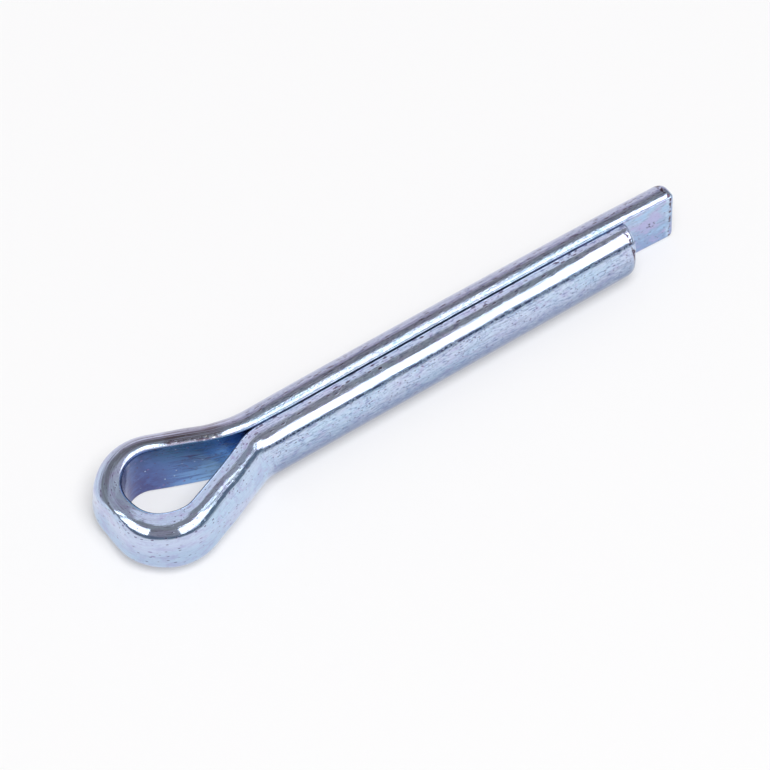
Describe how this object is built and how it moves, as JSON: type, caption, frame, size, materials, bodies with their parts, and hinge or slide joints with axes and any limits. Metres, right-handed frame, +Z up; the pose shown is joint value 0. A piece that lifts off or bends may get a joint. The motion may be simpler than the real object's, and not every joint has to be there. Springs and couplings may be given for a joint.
{
  "type": "cotter pin",
  "caption": "Zinc plated split cotter pin with a long and a short half-round leg and a closed oval eye.",
  "frame": {"origin": "on the axis of the round shank that the two legs make, where the legs start to part under the eye", "axes": "+X along the legs away from the eye, +Y towards the longer leg, +Z up, through the hole of the eye"},
  "size_m": [0.043, 0.0084, 0.0044],
  "materials": {
    "zinc": "bright blue-white zinc plate"
  },
  "bodies": {
    "root": {"cotter_pin": "zinc"}
  },
  "joints": []
}
